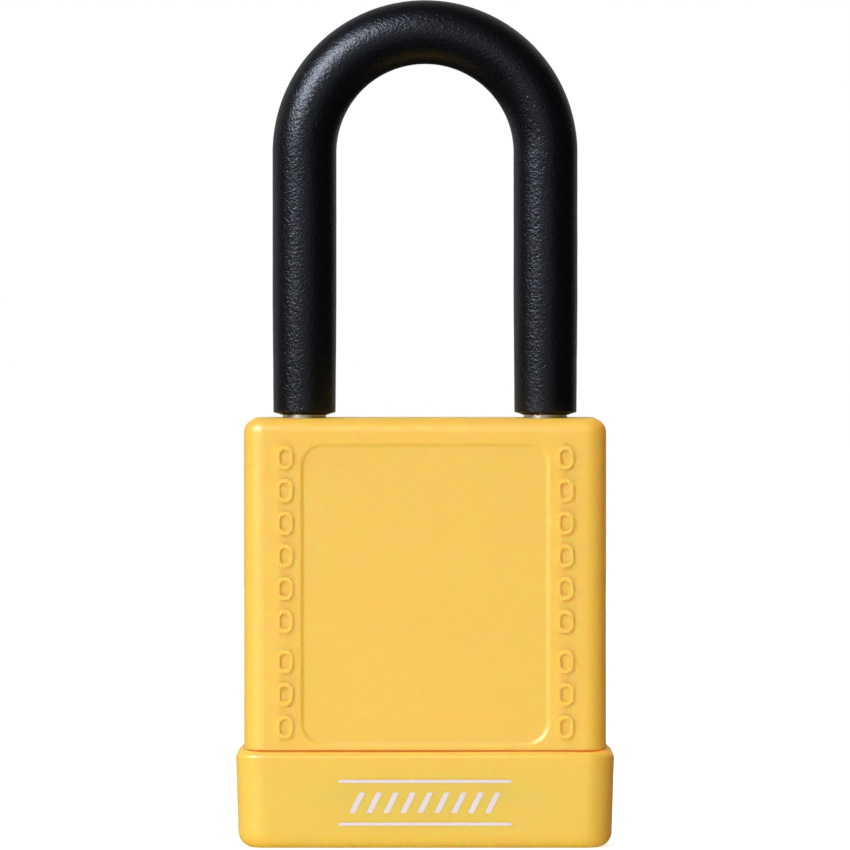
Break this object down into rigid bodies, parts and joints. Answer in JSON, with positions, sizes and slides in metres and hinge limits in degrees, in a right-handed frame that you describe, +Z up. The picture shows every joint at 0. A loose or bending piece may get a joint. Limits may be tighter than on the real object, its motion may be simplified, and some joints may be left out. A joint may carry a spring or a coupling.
{
  "type": "safety padlock",
  "caption": "Plastic-covered lockout padlock with a sleeved shackle, sunk label panels, a clipped-on bottom cap and a pin cylinder that works two locking balls.",
  "frame": {"origin": "centre of the underside of the bottom cap", "axes": "+Z up along the shackle legs, +X to the right along the row of legs (short leg at +X), +Y to the back; the front faces -Y"},
  "size_m": [0.0406, 0.021, 0.091],
  "materials": {
    "cover_plastic": "satin moulded golden yellow nylon, very fine grain",
    "sleeve_plastic": "black moulded plastic with a fine leathery grain",
    "shackle_steel": "bright plated steel",
    "body_aluminium": "milled aluminium",
    "cylinder_brass": "turned brass",
    "spring_steel": "drawn spring wire and strip",
    "cam_steel": "sintered steel",
    "ball_steel": "polished bearing steel",
    "pin_steel": "ground steel",
    "printed_band": "thin silver-white pad print"
  },
  "bodies": {
    "padlock_body": {"body_cover": "cover_plastic", "bottom_cap": "cover_plastic", "lock_body": "body_aluminium", "cross_bore_plug": "body_aluminium", "cylinder_housing": "cylinder_brass", "chamber_cover": "cylinder_brass", "shackle_spring": "spring_steel", "shackle_stop_pin": "pin_steel", "cylinder_retaining_pin": "pin_steel", "pin_spring_1": "spring_steel", "pin_spring_2": "spring_steel", "pin_spring_3": "spring_steel", "pin_spring_4": "spring_steel", "pin_spring_5": "spring_steel", "pin_spring_6": "spring_steel"},
    "shackle_body": {"shackle": "shackle_steel", "shackle_sleeve": "sleeve_plastic"},
    "plug_body": {"plug": "cylinder_brass", "plug_circlip": "spring_steel", "locking_cam": "cam_steel"},
    "toe_ball_body": {"locking_ball_toe": "ball_steel"},
    "heel_ball_body": {"locking_ball_heel": "ball_steel"},
    "key_pin_1_body": {"key_pin_1": "cylinder_brass"},
    "driver_pin_1_body": {"driver_pin_1": "cylinder_brass"},
    "key_pin_2_body": {"key_pin_2": "cylinder_brass"},
    "driver_pin_2_body": {"driver_pin_2": "cylinder_brass"},
    "key_pin_3_body": {"key_pin_3": "cylinder_brass"},
    "driver_pin_3_body": {"driver_pin_3": "cylinder_brass"},
    "key_pin_4_body": {"key_pin_4": "cylinder_brass"},
    "driver_pin_4_body": {"driver_pin_4": "cylinder_brass"},
    "key_pin_5_body": {"key_pin_5": "cylinder_brass"},
    "driver_pin_5_body": {"driver_pin_5": "cylinder_brass"},
    "key_pin_6_body": {"key_pin_6": "cylinder_brass"},
    "driver_pin_6_body": {"driver_pin_6": "cylinder_brass"}
  },
  "joints": [
    {"name": "plug_turn", "type": "hinge", "parent": "padlock_body", "child": "plug_body", "pos_m": [0, 0, 0.0005], "axis": [0, 0, 1], "range_deg": [-90, 0]},
    {"name": "shackle_lift", "type": "slide", "parent": "padlock_body", "child": "shackle_body", "axis": [0, 0, 1], "range_m": [0, 0.018], "deforming": ["shackle_spring"]},
    {"name": "toe_ball_slide", "type": "slide", "parent": "padlock_body", "child": "toe_ball_body", "axis": [1, 0, 0], "range_m": [0, 0.0014]},
    {"name": "heel_ball_slide", "type": "slide", "parent": "padlock_body", "child": "heel_ball_body", "axis": [-1, 0, 0], "range_m": [0, 0.0014]},
    {"name": "key_pin_1_slide", "type": "slide", "parent": "plug_body", "child": "key_pin_1_body", "axis": [0, 1, 0], "range_m": [-0.00202, 0]},
    {"name": "driver_pin_1_slide", "type": "slide", "parent": "padlock_body", "child": "driver_pin_1_body", "axis": [1, 0, 0], "range_m": [0, 0.0024], "stiffness_N_per_m": 100, "springref_m": -0.002, "deforming": ["pin_spring_1"]},
    {"name": "key_pin_2_slide", "type": "slide", "parent": "plug_body", "child": "key_pin_2_body", "axis": [0, 1, 0], "range_m": [-0.00122, 0]},
    {"name": "driver_pin_2_slide", "type": "slide", "parent": "padlock_body", "child": "driver_pin_2_body", "axis": [1, 0, 0], "range_m": [0, 0.0024], "stiffness_N_per_m": 100, "springref_m": -0.002, "deforming": ["pin_spring_2"]},
    {"name": "key_pin_3_slide", "type": "slide", "parent": "plug_body", "child": "key_pin_3_body", "axis": [0, 1, 0], "range_m": [-0.00272, 0]},
    {"name": "driver_pin_3_slide", "type": "slide", "parent": "padlock_body", "child": "driver_pin_3_body", "axis": [1, 0, 0], "range_m": [0, 0.0024], "stiffness_N_per_m": 100, "springref_m": -0.002, "deforming": ["pin_spring_3"]},
    {"name": "key_pin_4_slide", "type": "slide", "parent": "plug_body", "child": "key_pin_4_body", "axis": [0, 1, 0], "range_m": [-0.00162, 0]},
    {"name": "driver_pin_4_slide", "type": "slide", "parent": "padlock_body", "child": "driver_pin_4_body", "axis": [1, 0, 0], "range_m": [0, 0.0024], "stiffness_N_per_m": 100, "springref_m": -0.002, "deforming": ["pin_spring_4"]},
    {"name": "key_pin_5_slide", "type": "slide", "parent": "plug_body", "child": "key_pin_5_body", "axis": [0, 1, 0], "range_m": [-0.00242, 0]},
    {"name": "driver_pin_5_slide", "type": "slide", "parent": "padlock_body", "child": "driver_pin_5_body", "axis": [1, 0, 0], "range_m": [0, 0.0024], "stiffness_N_per_m": 100, "springref_m": -0.002, "deforming": ["pin_spring_5"]},
    {"name": "key_pin_6_slide", "type": "slide", "parent": "plug_body", "child": "key_pin_6_body", "axis": [0, 1, 0], "range_m": [-0.00092, 0]},
    {"name": "driver_pin_6_slide", "type": "slide", "parent": "padlock_body", "child": "driver_pin_6_body", "axis": [1, 0, 0], "range_m": [0, 0.0024], "stiffness_N_per_m": 100, "springref_m": -0.002, "deforming": ["pin_spring_6"]}
  ],
  "couplings": [
    {"joint": "toe_ball_slide", "follows": "plug_turn", "m_per_rad": -0.00089126},
    {"joint": "heel_ball_slide", "follows": "plug_turn", "m_per_rad": -0.00089126}
  ]
}
